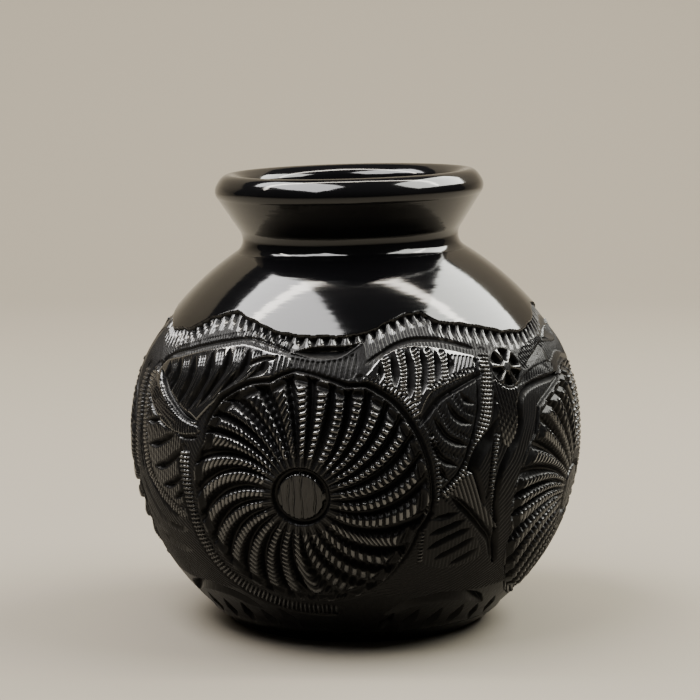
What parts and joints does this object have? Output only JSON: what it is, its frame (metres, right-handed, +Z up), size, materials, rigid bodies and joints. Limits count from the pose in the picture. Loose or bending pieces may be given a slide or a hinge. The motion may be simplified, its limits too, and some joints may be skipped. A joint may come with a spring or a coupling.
{
  "type": "carved clay pot",
  "caption": "Globe-shaped black clay pot with a burnished shoulder, flared neck and rolled lip, its wall carved in relief with spiral-petalled flowers and leaves.",
  "frame": {"origin": "centre of the foot's flat underside, where the pot stands", "axes": "+Z up, from the foot to the mouth; the front flower faces -Y"},
  "size_m": [0.15, 0.15, 0.1493],
  "materials": {
    "carved_clay": "satin",
    "burnished_clay": "polished"
  },
  "bodies": {
    "root": {"base_disc": "carved_clay", "lower_bowl": "carved_clay", "shoulder_bowl": "burnished_clay", "neck_collar": "burnished_clay", "lip_coil": "burnished_clay"}
  },
  "joints": []
}
